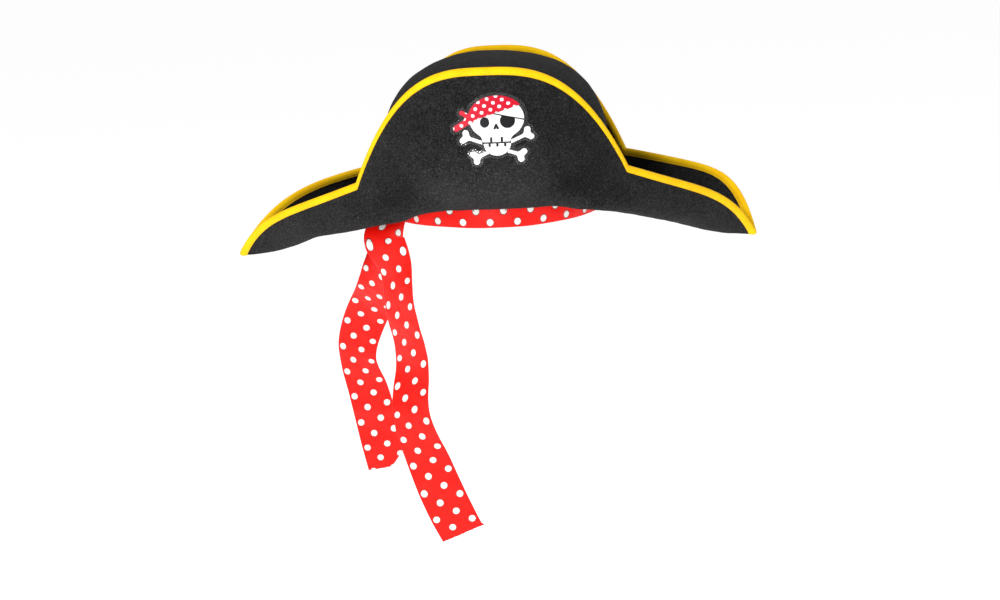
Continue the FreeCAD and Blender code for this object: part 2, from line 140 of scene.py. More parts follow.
class Graph:
    """The node tree of one material, with a Principled shader at its end."""

    def __init__(self, name: str) -> None:
        """Make an empty material.

        Args:
            name: the material's name.
        """
        self.material = bpy.data.materials.new(name)
        self.material.use_nodes = True
        self.tree = self.material.node_tree
        self.tree.nodes.clear()
        self.shader = self.node("ShaderNodeBsdfPrincipled", {}, {})
        output = self.node("ShaderNodeOutputMaterial", {}, {})
        self.tree.links.new(self.shader.outputs[0], output.inputs[0])

    def node(self, kind: str, settings: dict, inputs: dict) -> bpy.types.Node:
        """Add a node.

        Args:
            kind: the node's type.
            settings: attributes that are set first.
            inputs: values, sockets or Numbers by socket name or index.

        Returns:
            The new node.
        """
        node = self.tree.nodes.new(kind)
        for key, value in settings.items():
            setattr(node, key, value)
        for key, value in inputs.items():
            self.feed(node.inputs[key], value)
        return node

    def feed(self, socket: bpy.types.NodeSocket, value: object) -> None:
        """Link or set one input socket."""
        if isinstance(value, Number):
            value = value.socket
        if isinstance(value, bpy.types.NodeSocket):
            self.tree.links.new(value, socket)
        elif isinstance(value, tuple) and len(value) == 3 and socket.type == "RGBA":
            socket.default_value = (*value, 1.0)
        else:
            socket.default_value = value

    def ramp(self, value: Number, low: float, high: float, start: float, end: float) -> Number:
        """Return value moved smoothly from the range low..high to start..end."""
        settings = {"interpolation_type": "SMOOTHSTEP"}
        inputs = {"Value": value, "From Min": low, "From Max": high, "To Min": start, "To Max": end}
        return Number(self, self.node("ShaderNodeMapRange", settings, inputs).outputs[0])

    def mix(self, factor: Number | float, first: object, second: object) -> bpy.types.NodeSocket:
        """Return the colour between first and second."""
        node = self.node("ShaderNodeMix", {"data_type": "RGBA"}, {})
        self.feed(node.inputs[0], factor)
        self.feed(node.inputs[6], first)
        self.feed(node.inputs[7], second)
        return node.outputs[2]

    def place(self) -> bpy.types.NodeSocket:
        """Return the place on the object, in metres."""
        return self.node("ShaderNodeTexCoord", {}, {}).outputs["Object"]

    def cloth(self) -> tuple[Number, Number]:
        """Return the place on the cloth: across and along it, in metres, from its UV map."""
        uv = self.node("ShaderNodeUVMap", {"uv_map": "cloth"}, {}).outputs[0]
        split = self.node("ShaderNodeSeparateXYZ", {}, {0: uv})
        return Number(self, split.outputs[0]), Number(self, split.outputs[1])

    def stretched(self, socket: bpy.types.NodeSocket, scale: Colour) -> bpy.types.NodeSocket:
        """Return a place multiplied by a scale along each axis."""
        return self.node("ShaderNodeMapping", {}, {"Vector": socket, "Scale": scale}).outputs[0]

    def noise(self, place: bpy.types.NodeSocket, grain: float, detail: float = 3.0,
              rough: float = 0.55, warp: float = 0.0) -> Number:
        """Return smooth noise.

        Args:
            place: the place that it is read at, in metres.
            grain: the size of its larger spots, in metres.
            detail: how many finer layers it has.
            rough: how strong the finer layers are.
            warp: how much it is distorted.

        Returns:
            The noise, around 0.5.
        """
        inputs = {"Vector": place, "Scale": 1.0 / grain, "Detail": detail, "Roughness": rough,
                  "Distortion": warp}
        return Number(self, self.node("ShaderNodeTexNoise", {}, inputs).outputs[0])

    def bump(self, height: Number, depth: float, strength: float = 1.0) -> None:
        """Raise the surface by height times depth in metres."""
        node = self.node("ShaderNodeBump", {}, {"Height": height, "Distance": depth, "Strength": strength})
        self.feed(self.shader.inputs["Normal"], node.outputs[0])

    def set(self, **values: object) -> None:
        """Set or feed sockets of the shader; an underscore stands for a space in a socket's name."""
        for key, value in values.items():
            self.feed(self.shader.inputs[key.replace("_", " ")], value)


# ---------------------------------------------------------------- finishes

@dataclass(frozen=True)
class Felt:
    """Pressed felt: matted fibres with lint and a slight sheen, lighter in random worn patches, with painted
    light on its swells and painted shade in its valleys.
    """

    name: str = "black_felt"
    colour: Colour = (0.0038, 0.0038, 0.0041)
    # Lighter felt: worn patches at random, and painted light on the moulding's swells.
    worn_and_lit: Colour = (0.0195, 0.0195, 0.0200)
    lint: Colour = (0.105, 0.103, 0.101)

    def material(self) -> bpy.types.Material:
        """Return the felt's material."""
        graph = Graph(self.name)
        place = graph.place()
        cloud = graph.noise(place, 22 * MM, 3.0)
        mat = graph.noise(place, 1.6 * MM, 4.0, 0.7, 1.2)
        long_fibres = graph.noise(graph.stretched(place, (1.0, 1.0, 0.28)), 0.55 * MM, 2.0, 0.6, 2.5)
        cross_fibres = graph.noise(graph.stretched(place, (0.25, 0.6, 1.0)), 0.6 * MM, 2.0, 0.6, 2.5)
        fibres = long_fibres * 0.5 + cross_fibres * 0.5
        # Painted light and shade from the mesh: higher on the swells of the brim's moulding, lower in its
        # valleys.
        nap = Number(graph, graph.node("ShaderNodeAttribute", {"attribute_name": "nap"}, {}).outputs[2])
        # Random lighter patches, plus painted light on the swells and painted shade in the valleys.
        patches_and_relief_light = cloud.above(0.52, 0.4) * 0.25 + mat.above(0.52, 0.22) * 0.65 + nap * 0.42
        base = graph.mix(patches_and_relief_light.above(0.5, 1.1), self.colour, self.worn_and_lit)
        lint = fibres.above(0.575, 0.09) * mat.above(0.42, 0.25)
        # Lint flecks painted brighter on the swells and dimmer in the valleys: painted light and shade.
        graph.set(Base_Color=graph.mix(lint * (nap * 0.35 + 0.75), base, self.lint), Roughness=0.95,
                  Specular_IOR_Level=0.10, Sheen_Weight=0.05, Sheen_Roughness=0.45,
                  Sheen_Tint=(0.5, 0.5, 0.51))
        graph.bump(mat * 0.8 + fibres * 0.8 + cloud * 0.5, 1.1 * MM, 0.9)
        return graph.material


@dataclass(frozen=True)
class Tape:
    """Woven binding tape, ribbed across its length; its darker orange is painted shade, laid in random
    blotches, in fine fuzz and between the ribs.
    """

    name: str = "yellow_tape"
    colour: Colour = (0.88, 0.58, 0.003)
    shade: Colour = (0.80, 0.40, 0.002)
    weft: float = 0.75 * MM
    warp: float = 0.6 * MM

    def material(self) -> bpy.types.Material:
        """Return the tape's material."""
        graph = Graph(self.name)
        across, along = graph.cloth()
        place = graph.place()
        blotches = graph.noise(place, 14 * MM, 3.0)
        fuzz = graph.noise(place, 0.7 * MM, 3.0, 0.7)
        weave = along.ribs(self.weft) * 0.6 + across.ribs(self.warp) * 0.4
        # Painted shade: the darker orange shade colour, laid in random blotches and fine fuzz, and darkest
        # between the weave's ribs.
        tone = blotches.above(0.5, 0.5) * 0.5 + fuzz.above(0.5, 0.5) * 0.3 + (1 - weave) * 0.2
        graph.set(Base_Color=graph.mix(tone, self.colour, self.shade), Roughness=0.8,
                  Specular_IOR_Level=0.12, Sheen_Weight=0.08, Sheen_Roughness=0.5,
                  Sheen_Tint=(1.0, 0.85, 0.3))
        graph.bump(weave * 0.5 + fuzz * 0.8, 0.25 * MM, 0.7)
        return graph.material


@dataclass(frozen=True)
class Satin:
    """Printed satin ribbon: white dots in staggered columns, each with a thin dark line round it."""

    name: str = "red_satin"
    colour: Colour = (0.90, 0.006, 0.002)
    deep: Colour = (0.70, 0.003, 0.001)
    dot: Colour = (0.82, 0.78, 0.74)
    ring: Colour = (0.11, 0.010, 0.010)
    width: float = 35 * MM
    column: float = 8.6 * MM
    pitch: float = 22.4 * MM
    dot_radius: float = 2.65 * MM
    selvedge: float = 0.9 * MM
    outline: float = 0.55 * MM
    yarn: float = 0.42 * MM
    twill: float = 0.45

    def material(self) -> bpy.types.Material:
        """Return the ribbon's material."""
        graph = Graph(self.name)
        across, along = graph.cloth()
        columns = across / self.column
        number = columns.floor()
        stagger = number.wrap(2.0) * (self.pitch / 2)
        side = (columns - number - 0.5) * self.column
        up = (along + stagger).wrap(self.pitch) - self.pitch / 2
        reach = (side * side + up * up).root()
        dot = reach.below(self.dot_radius, 0.25 * MM)
        ring = reach.below(self.dot_radius + self.outline, 0.30 * MM)
        place = graph.place()
        tone = graph.noise(place, 25 * MM, 2.0)
        edge = (across - self.width / 2).size().above(self.width / 2 - self.selvedge, 0.4 * MM)
        cloth = graph.mix(tone.above(0.5, 0.5) * 0.35 + edge * 0.35, self.colour, self.deep)
        printed = graph.mix(ring * 0.95, cloth, self.ring)
        floats = (along * self.twill + across).waves(self.yarn)
        fine = graph.noise(place, 2.2 * MM, 3.0, 0.6)
        crease = graph.noise(place, 12 * MM, 2.0, 0.5, 0.6)
        graph.set(Base_Color=graph.mix(dot, printed, self.dot),
                  Roughness=dot * 0.12 + fine * 0.10 + 0.29, Specular_IOR_Level=0.17)
        graph.bump(floats * 0.12 + fine * 0.5 + crease * 1.5 + dot * 0.25 + edge * 0.8, 0.22 * MM, 0.6)
        return graph.material


@dataclass(frozen=True)
class Thread:
    """Twisted sewing thread."""

    name: str
    colour: Colour
    shade: Colour

    def material(self) -> bpy.types.Material:
        """Return the thread's material."""
        graph = Graph(self.name)
        place = graph.place()
        strands = graph.noise(graph.stretched(place, (1.0, 1.0, 0.5)), 0.35 * MM, 2.0, 0.6, 0.8)
        graph.set(Base_Color=graph.mix(strands.above(0.5, 0.4), self.colour, self.shade),
                  Roughness=0.62, Specular_IOR_Level=0.4, Sheen_Weight=0.2, Sheen_Roughness=0.4)
        graph.bump(strands, 0.12 * MM, 0.7)
        return graph.material


@dataclass(frozen=True)
class Ink:
    """Printed ink under a clear gloss."""

    name: str
    colour: Colour
    mottle: float = 0.10

    def material(self) -> bpy.types.Material:
        """Return the ink's material."""
        graph = Graph(self.name)
        place = graph.place()
        grain = graph.noise(place, 0.9 * MM, 3.0, 0.65)
        orange_peel = graph.noise(place, 3.5 * MM, 2.0)
        darker = tuple(channel * (1 - 2.2 * self.mottle) for channel in self.colour)
        graph.set(Base_Color=graph.mix(grain.above(0.5, 0.6) * 0.6, self.colour, darker),
                  Roughness=grain * 0.10 + 0.26, Specular_IOR_Level=0.22,
                  Coat_Weight=0.10, Coat_Roughness=0.12)
        graph.bump(orange_peel + grain * 0.25, 0.10 * MM, 0.5)
        return graph.material


@dataclass(frozen=True)
class Film:
    """Clear glossy film, die-cut, with a faint waviness from its glue."""

    name: str = "clear_film"
    tint: Colour = (0.80, 0.80, 0.81)
    smeared: Colour = (0.68, 0.68, 0.69)

    def material(self) -> bpy.types.Material:
        """Return the film's material."""
        graph = Graph(self.name)
        place = graph.place()
        glue = graph.noise(place, 6 * MM, 2.0, 0.5, 0.5)
        smear = graph.noise(place, 1.6 * MM, 3.0, 0.6)
        graph.set(Base_Color=graph.mix(smear.above(0.5, 0.6), self.tint, self.smeared),
                  Roughness=smear * 0.08 + 0.05, IOR=1.18, Transmission_Weight=0.97)
        graph.bump(glue + smear * 0.1, 0.35 * MM, 0.6)
        return graph.material


@dataclass(frozen=True)
class LabelTape:
    """Plain white woven label."""

    name: str = "white_tape"
    colour: Colour = (0.80, 0.80, 0.78)
    blotches: Colour = (0.70, 0.69, 0.66)
    yarn: float = 0.5 * MM

    def material(self) -> bpy.types.Material:
        """Return the label's material."""
        graph = Graph(self.name)
        across, along = graph.cloth()
        blotches = graph.noise(graph.place(), 5 * MM, 3.0)
        graph.set(Base_Color=graph.mix(blotches.above(0.5, 0.6) * 0.5, self.colour, self.blotches),
                  Roughness=0.72, Specular_IOR_Level=0.3, Sheen_Weight=0.15)
        graph.bump(along.ribs(self.yarn) * across.ribs(self.yarn), 0.12 * MM, 0.7)
        return graph.material


MADE: dict[str, bpy.types.Material] = {}


class Finish(Enum):
    """The finishes, by the name of their slot in the record."""

    FELT = Felt()
    TAPE = Tape()
    SATIN = Satin()
    YELLOW_THREAD = Thread("yellow_thread", (0.92, 0.62, 0.010), (0.75, 0.42, 0.006))
    BLACK_THREAD = Thread("black_thread", (0.020, 0.020, 0.021), (0.009, 0.009, 0.009))
    RED_THREAD = Thread("red_thread", (0.62, 0.012, 0.006), (0.36, 0.006, 0.004))
    WHITE_INK = Ink("white_print", (0.80, 0.80, 0.82), 0.05)
    RED_INK = Ink("red_print", (0.52, 0.004, 0.022))
    BLACK_INK = Ink("black_print", (0.006, 0.006, 0.007))
    FILM = Film()
    LABEL = LabelTape()

    def material(self) -> bpy.types.Material:
        """Return the finish's material, made once."""
        if self.name not in MADE:
            MADE[self.name] = self.value.material()
        return MADE[self.name]


# ---------------------------------------------------------------- mesh helpers

Array = np.ndarray
Place = Callable[[Array, Array], Array]


def mapped_grid(columns: int, rows: int, cloth: tuple[float, float], place: Place,
                ring: bool = False, nap: Place | None = None) -> bmesh.types.BMesh:
    """Make a grid and move every vertex to its place.

    Args:
        columns: faces across.
        rows: faces along.
        cloth: the flat size across and along that the UV map spans, in metres.
        place: gives the places of all vertices from their shares across and along.
        ring: whether the two ends of the length meet.
        nap: gives the painted light and shade of the felt's moulding, lighter on swells and darker in
            valleys, from the same shares.

    Returns:
        The bmesh, with a UV map named cloth and, if asked for, a value named nap that holds painted light and
        shade.
    """
    mesh = bmesh.new()
    bmesh.ops.create_grid(mesh, x_segments=columns, y_segments=rows, size=0.5)
    layer = mesh.loops.layers.uv.new("cloth")
    for face in mesh.faces:
        for loop in face.loops:
            spot = loop.vert.co
            loop[layer].uv = ((spot.x + 0.5) * cloth[0], (spot.y + 0.5) * cloth[1])
    shares = np.array([vertex.co[:2] for vertex in mesh.verts], float) + 0.5
    for vertex, spot in zip(mesh.verts, place(shares[:, 0], shares[:, 1])):
        vertex.co = spot
    if nap:
        # Store the painted light and shade of each vertex as a value on the mesh.
        relief_light_layer = mesh.verts.layers.float.new("nap")
        mesh.verts.ensure_lookup_table()
        for vertex, value in zip(mesh.verts, nap(shares[:, 0], shares[:, 1])):
            vertex[relief_light_layer] = value
    if ring:
        bmesh.ops.remove_doubles(mesh, verts=mesh.verts, dist=1e-6)
    bmesh.ops.recalc_face_normals(mesh, faces=mesh.faces)
    return mesh


def finished(mesh: bmesh.types.BMesh, name: str, finish: Finish, body: str | None,
             nodes: Iterable[str] = (), thickness: float = 0.0, offset: float = 0.0,
             sharp: float = 45.0) -> bpy.types.Object:
    """Turn a bmesh into a piece of the hat.

    Args:
        mesh: the bmesh, freed here.
        name: the piece's name.
        finish: its finish.
        body: the CAD body it rides on, or None to leave it unattached.
        nodes: the CAD nodes it stands for.
        thickness: the wall that is given to a sheet, in metres.
        offset: which side the wall grows to, from -1 to 1.
        sharp: the angle over which an edge stays sharp, in degrees.

    Returns:
        The object.
    """
    for face in mesh.faces:
        face.smooth = True
    data = bpy.data.meshes.new(name)
    mesh.to_mesh(data)
    mesh.free()
    piece = bpy.data.objects.new(name, data)
    bpy.context.scene.collection.objects.link(piece)
    data.materials.append(finish.material())
    data.set_sharp_from_angle(angle=math.radians(sharp))
    if thickness:
        wall = piece.modifiers.new("wall", "SOLIDIFY")
        wall.thickness = thickness
        wall.offset = offset
    if body:
        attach(piece, body)
    if nodes:
        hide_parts(*nodes)
    LOG.info("%s: %d faces", name, len(data.polygons))
    return piece


def move_print(mesh: bmesh.types.BMesh, move: Callable[[float, float], float]) -> None:
    """Move the print along the cloth, to the place that move gives for a place across and along it."""
    layer = mesh.loops.layers.uv["cloth"]
    for face in mesh.faces:
        for loop in face.loops:
            loop[layer].uv.y = move(*loop[layer].uv)


def panels(name: str) -> list[str]:
    """Return the names of the CAD nodes that a piece of felt is parted into."""
    return sorted(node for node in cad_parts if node.startswith(name))


def wobble(spots: Array, grain: float, seed: float) -> Array:
    """Return smooth noise between about -1 and 1 at places."""
    shift = np.array([seed, 2.3 * seed, -seed])
    return np.array([noise.noise(Vector(spot)) for spot in spots.reshape(-1, 3) / grain + shift])


def ease(value: Array | float) -> Array:
    """Return a value from 0 to 1 that starts and ends level."""
    value = np.clip(value, 0.0, 1.0)
    return value * value * (3.0 - 2.0 * value)


def column(value: Array) -> Array:
    """Return a value that can multiply rows of three."""
    return np.asarray(value)[..., None]


def unit(vectors: Array) -> Array:
    """Return vectors brought to a length of 1."""
    return vectors / np.linalg.norm(vectors, axis=-1, keepdims=True)


def points(x: Array, y: Array, z: Array) -> Array:
    """Return rows of three from their columns."""
    return np.stack(np.broadcast_arrays(x, y, z), axis=-1)


# ---------------------------------------------------------------- the hat's form

@dataclass(frozen=True)
class HatForm:
    """The hat's driving sizes and the formulas of its felt."""

    half_width: float = 92.0 * MM
    half_depth: float = 98.0 * MM
    crown_height: float = 102.0 * MM
    fullness: float = 3.0
    shoulder: float = 0.38
    felt: float = 2.5 * MM
    wing_reach: float = 205.0 * MM
    flap_reach: float = 110.0 * MM
    front_top: float = 103.4 * MM
    rear_top: float = 95.0 * MM
    hump_power: float = 2.9
    tip: dict[int, float] = field(default_factory=lambda: {-1: -50.5 * MM, 1: -46.5 * MM})
    sag: dict[int, float] = field(default_factory=lambda: {-1: 55.0 * MM, 1: 48.5 * MM})
    notch: dict[tuple[int, int], tuple[float, float, float, float]] = field(default_factory=lambda: {
        (1, 1): (103.0 * MM, 23.5 * MM, 0.62, 6.0),
        (-1, 1): (98.5 * MM, 17.5 * MM, 0.66, 6.0),
        (1, -1): (106.0 * MM, 9.5 * MM, 0.22, 9.0),
        (-1, -1): (94.0 * MM, 4.0 * MM, 0.30, 4.5),
    })
    tip_round: float = 0.20
    seam_run: float = 30.0 * MM
    seam_dip: float = 4.0 * MM
    seam_wing_dip: float = 24.0 * MM
    edge_run_x: float = 40.0 * MM
    edge_run_y: float = 25.0 * MM
    edge_drop: float = 30.0 * MM
    edge_drop_share: float = 0.45
    sag_from: float = 35.0 * MM
    sag_over: float = 175.0 * MM
    fold_rise: float = 5.0 * MM
    corner_rise: float = 6.0 * MM
    corner_angle: float = 52.0
    corner_width: float = 17.0

    def oval(self, angle: Array, inset: Array | float, z: Array | float) -> Array:
        """Return points on the head opening's oval, moved in by inset, at height z."""
        return points((self.half_width - inset) * np.cos(angle), (self.half_depth - inset) * np.sin(angle), z)

    def dome(self, share: Array) -> tuple[Array, Array]:
        """Return the crown's radius along X and its height at a share of the way up."""
        height = np.sin(share * math.pi / 2)
        radius = np.maximum(0.0, 1.0 - height ** self.fullness) ** self.shoulder
        return self.half_width * radius, self.crown_height * height

    def edge_height(self, x: Array, front: Array) -> Array:
        """Return the height of a flap's edge at x: a square hump in the middle, then a wing."""
        result = np.zeros_like(x)
        for (side, face), (notch_x, notch_z, straight, power) in self.notch.items():
            top = self.front_top if face > 0 else self.rear_top
            reach = np.abs(x)
            hump = notch_z + (top - notch_z) * (1.0 - np.minimum(reach / notch_x, 1.0) ** self.hump_power)
            share = np.clip((reach - notch_x) / (self.wing_reach - notch_x), 0.0, 1.0)
            fall = straight * share + (1.0 - straight) * share ** power
            wing = notch_z + (self.tip[side] - notch_z) * fall
            here = ((x >= 0) == (side > 0)) & (front == (face > 0))
            result = np.where(here, np.where(reach < notch_x, hump, wing), result)
        return result

    def brim(self, angle: Array, share: Array) -> Array:
        """Return points of the brim's middle surface.

        Args:
            angle: the angles round the head, from +X towards +Y.
            share: the shares of the way from the crown's seam to the edge.
        """
        c, s = np.cos(angle), np.sin(angle)
        reach = self.wing_reach * c
        blunt = np.sqrt(s * s + self.tip_round ** 2 * c ** 8)
        edge = points(reach, self.flap_reach * s * blunt, self.edge_height(reach, s <= 0))
        seam = self.oval(angle, 0.0, 0.0)
        dip = self.seam_dip + self.seam_wing_dip * c * c
        below_seam = seam + points(self.seam_run * c, self.seam_run * s, -dip)
        sag = np.where(c >= 0, self.sag[1], self.sag[-1])
        lowest = -sag * ease((np.abs(reach) - self.sag_from) / self.sag_over)
        drop = self.edge_drop * np.abs(s) + self.edge_drop_share * (edge[..., 2] - lowest)
        below_edge = edge + points(-self.edge_run_x * c * np.abs(c) ** 2, self.edge_run_y * s, -drop)
        turned = (np.mod(angle + math.pi, 2 * math.pi) - math.pi) / math.radians(1)
        corner = self.corner_rise * np.exp(-((turned + self.corner_angle) / self.corner_width) ** 2)
        raised = np.where(s < 0, self.fold_rise * np.sqrt(np.abs(s)) + corner, 0.0)
        below_seam = below_seam + points(0.0, 0.0, raised)
        below_edge = below_edge + points(0.0, 0.0, raised)
        t, u = column(share), column(1.0 - np.asarray(share))
        return seam * u ** 3 + below_seam * (3 * u * u * t) + below_edge * (3 * u * t * t) + edge * t ** 3

    def brim_normal(self, angle: Array, share: Array) -> Array:
        """Return the directions out of the brim's lower and outer side."""
        step = 1e-3
        along = self.brim(angle + step, share) - self.brim(angle - step, share)
        across = self.brim(angle, np.minimum(1.0, share + step)) - self.brim(angle, share - step)
        return unit(np.cross(along, across))

    def share_from_edge(self, angle: Array, distance: Array | float) -> Array:
        """Return the shares of the points at a distance in from the edge, along the fold."""
        edge = self.brim(angle, np.ones_like(angle))
        low, high = np.zeros_like(angle), np.ones_like(angle)
        for _ in range(22):
            middle = (low + high) / 2
            far = np.linalg.norm(self.brim(angle, middle) - edge, axis=-1) > distance
            low, high = np.where(far, middle, low), np.where(far, high, middle)
        return high

    def even_angles(self, along: Array, seam_weight: float) -> Array:
        """Return the angles of shares of the way round, spread evenly along the brim's edge.

        Args:
            along: the shares of the way round, from 0 to 1.
            seam_weight: how much the way round the head opening counts beside the edge.
        """
        fine = math.pi / 2 - 2 * math.pi * np.linspace(0.0, 1.0, 4001)
        edge = self.brim(fine, np.ones_like(fine))
        steps = np.linalg.norm(np.diff(edge, axis=0), axis=-1)
        steps += seam_weight * np.linalg.norm(np.diff(self.oval(fine, 0.0, 0.0), axis=0), axis=-1)
        way = np.concatenate([[0.0], np.cumsum(steps)])
        return np.interp(along * way[-1], way, fine)


# ---------------------------------------------------------------- felt

@dataclass
class FeltBody:
    """The crown and the brim, pressed from black felt."""

    form: HatForm
    columns: int = 64
    stations: int = 420
    crown_rows: int = 60
    crown_steps: int = 240
    slim: float = 5.0 * MM
    swell: float = 3.4 * MM
    valley: float = 3.6 * MM
    rim: float = 1.2 * MM
    waves: tuple[tuple[float, float, float], ...] = (
        (48 * MM, 0.9 * MM, 3.1), (13 * MM, 0.35 * MM, 7.7), (4 * MM, 0.12 * MM, 1.9))

    def waviness(self, spots: Array) -> Array:
        """Return how far the felt stands out of its ideal form at places."""
        return sum(wobble(spots, grain, seed) * height for grain, height, seed in self.waves)

    def moulding(self, spots: Array, share: Array) -> Array:
        """Return how far the flaps swell over their fold and sink in the valleys beside it."""
        x, depth = spots[:, 0], np.where(spots[:, 1] < 0, 1.0, 0.6)
        swell = self.swell * np.exp(-(x / (62 * MM)) ** 2 - ((share - 0.44) / 0.15) ** 2)
        valley_x = (52 + 95 * (share - 0.45)) * MM
        beside = ((np.abs(x) - valley_x) / (13 * MM)) ** 2 + ((share - 0.55) / 0.2) ** 2
        valley = self.valley * np.exp(-beside)
        rim = self.rim * np.exp(-((share - 0.85) / 0.07) ** 2) * np.exp(-(x / (90 * MM)) ** 4)
        return (swell - valley - rim) * depth

    def clear_of_badge(self, spots: Array) -> Array:
        """Return 0 under the badge, which lies flat on the felt, and 1 away from it."""
        reach = np.hypot(spots[:, 0] - 6 * MM, spots[:, 2] - 61 * MM)
        return np.where(spots[:, 1] < 0, ease((reach - 33 * MM) / (22 * MM)), 1.0)

    def brim(self) -> bpy.types.Object:
        """Build the brim from one grid that is closed round the head."""
        form = self.form

        def place(across: Array, along: Array) -> Array:
            """Return the places of points from their shares across and along."""
            angle = form.even_angles(along, 0.8)
            spots = form.brim(angle, across)
            held = ease(across / 0.15) * ease((1.0 - across) / 0.10) * self.clear_of_badge(spots)
            lift = (self.waviness(spots) + self.moulding(spots, across)) * held
            return spots + form.brim_normal(angle, across) * column(lift)

        def nap(across: Array, along: Array) -> Array:
            """Return the painted light and shade at points: positive on the moulding's swells, negative in
            its valleys.
            """
            spots = form.brim(form.even_angles(along, 0.8), across)
            return self.moulding(spots, across) / (3 * MM)

        mesh = mapped_grid(self.columns, self.stations, (150 * MM, 900 * MM), place, ring=True, nap=nap)
        return finished(mesh, "brim_felt", Finish.FELT, "hat", panels("felt_brim"), form.felt)

    def crown(self) -> bpy.types.Object:
        """Build the crown by turning its outline round the head's axis."""
        form = self.form
        mesh = bmesh.new()
        radius, height = form.dome(np.linspace(0.0, 1.0, self.crown_rows + 1))
        height = np.maximum(height, form.felt / 2 + 0.15 * MM)
        outline = [mesh.verts.new((r, 0.0, z)) for r, z in zip(radius, height)]
        edges = [mesh.edges.new(pair) for pair in zip(outline, outline[1:])]
        bmesh.ops.spin(mesh, geom=outline + edges, cent=(0, 0, 0), axis=(0, 0, 1), dvec=(0, 0, 0),
                       angle=2 * math.pi, steps=self.crown_steps, use_merge=True, use_duplicate=False)
        bmesh.ops.remove_doubles(mesh, verts=mesh.verts, dist=1e-5)
        bmesh.ops.scale(mesh, vec=(1, form.half_depth / form.half_width, 1), verts=mesh.verts)
        bmesh.ops.recalc_face_normals(mesh, faces=mesh.faces)
        mesh.normal_update()
        spots = np.array([vertex.co for vertex in mesh.verts], float)
        lift = self.waviness(spots) * ease(spots[:, 2] / (20 * MM))
        slim = self.slim * ease(spots[:, 2] / (45 * MM)) * ease(-spots[:, 0] / (60 * MM))
        for vertex, out, inward in zip(mesh.verts, lift, slim):
            vertex.co += vertex.normal * out + Vector((inward, 0, 0))
        return finished(mesh, "crown_felt", Finish.FELT, "hat", panels("felt_crown"), form.felt)

    def build(self) -> None:
        brim = self.brim()
        self.crown()


# ---------------------------------------------------------------- edge tape

@dataclass
class EdgeTape:
    """The yellow tape folded over the brim's edge, and the thread that holds it."""

    form: HatForm
    leg: float = 3.9 * MM
    wall: float = 0.8 * MM
    slack: float = 0.05 * MM
    stitch_inset: float = 2.9 * MM
    stitch: float = 3.4 * MM
    stitches: int = 230
    stations: int = 920
    puff: float = 0.20 * MM

    def place(self, across: Array, along: Array) -> Array:
        """Return points of the tape's middle from their shares across its fold and along it."""
        form = self.form
        angle = form.even_angles(along, 0.0)
        radius = form.felt / 2 + self.slack + self.wall / 2
        bend = math.pi * radius / 2
        way = (across - 0.5) * 2 * (self.leg + bend)
        ones = np.ones_like(angle)
        edge, normal = form.brim(angle, ones), form.brim_normal(angle, ones)
        out = unit(edge - form.brim(angle, 0.985 * ones))
        turn = np.clip(way / radius, -math.pi / 2, math.pi / 2)
        roll = edge + (out * column(np.cos(turn)) + normal * column(np.sin(turn))) * (
            radius + column(self.puff * np.cos(turn)))
        inset = np.maximum(np.abs(way) - bend, 0.0)
        share = form.share_from_edge(angle, inset)
        pull = np.exp(-((inset - self.stitch_inset) / (1.1 * MM)) ** 2)
        swell = np.sin(math.pi * np.minimum(1.0, inset / self.stitch_inset))
        rise = radius + self.puff * swell - 0.40 * MM * pull
        leg = form.brim(angle, share) + form.brim_normal(angle, share) * column(np.sign(way) * rise)
        return np.where(column(np.abs(way) <= bend), roll, leg)

    def build(self) -> None:
        """Build the tape and its stitches."""
        length = 2 * self.leg + math.pi * (self.form.felt / 2 + self.wall)
        mesh = mapped_grid(24, self.stations, (length, 1.06), self.place, ring=True)
        finished(mesh, "edge_tape", Finish.TAPE, "hat", ["edge_binding"], self.wall)
        self.thread()

    def thread(self) -> None:
        """Build the running stitches along both legs of the tape."""
        form = self.form
        angle = form.even_angles((np.arange(self.stitches) + 0.5) / self.stitches, 0.0)
        share = form.share_from_edge(angle, self.stitch_inset)
        spots, normal = form.brim(angle, share), form.brim_normal(angle, share)
        ahead = form.brim(angle + 0.002, form.share_from_edge(angle + 0.002, self.stitch_inset))
        along = unit(ahead - spots)
        rise = form.felt / 2 + self.slack + self.wall - 0.30 * MM
        run = StitchRun("edge_tape_stitches", Finish.YELLOW_THREAD, 0.28 * MM)
        for side in (1.0, -1.0):
            run.add(spots + normal * side * rise, along, normal * side, self.stitch)
        run.build("hat", ["binding_stitches"])


@dataclass
class StitchRun:
    """A run of thread stitches, each a short rounded bar that dips into the cloth at its ends."""

    name: str
    finish: Finish
    radius: float
    mesh: bmesh.types.BMesh = field(default_factory=bmesh.new)

    def add(self, spots: Array, along: Array, out: Array, length: float) -> None:
        """Add stitches.

        Args:
            spots: their middles, on the cloth.
            along: the directions they run in.
            out: the directions out of the cloth.
            length: their length in metres.
        """
        size = Matrix.Diagonal((length / 2, self.radius, self.radius, 1.0))
        for spot, run, away in zip(spots, along, out):
            side = np.cross(away, run)
            turn = Matrix((run, side / np.linalg.norm(side), away)).transposed().to_4x4()
            matrix = Matrix.Translation(spot) @ turn @ size
            bmesh.ops.create_uvsphere(self.mesh, u_segments=8, v_segments=6, radius=1.0, matrix=matrix)

    def build(self, body: str, nodes: Iterable[str]) -> bpy.types.Object:
        """Turn the run into a piece."""
        return finished(self.mesh, self.name, self.finish, body, nodes, sharp=80.0)


# ---------------------------------------------------------------- ribbon

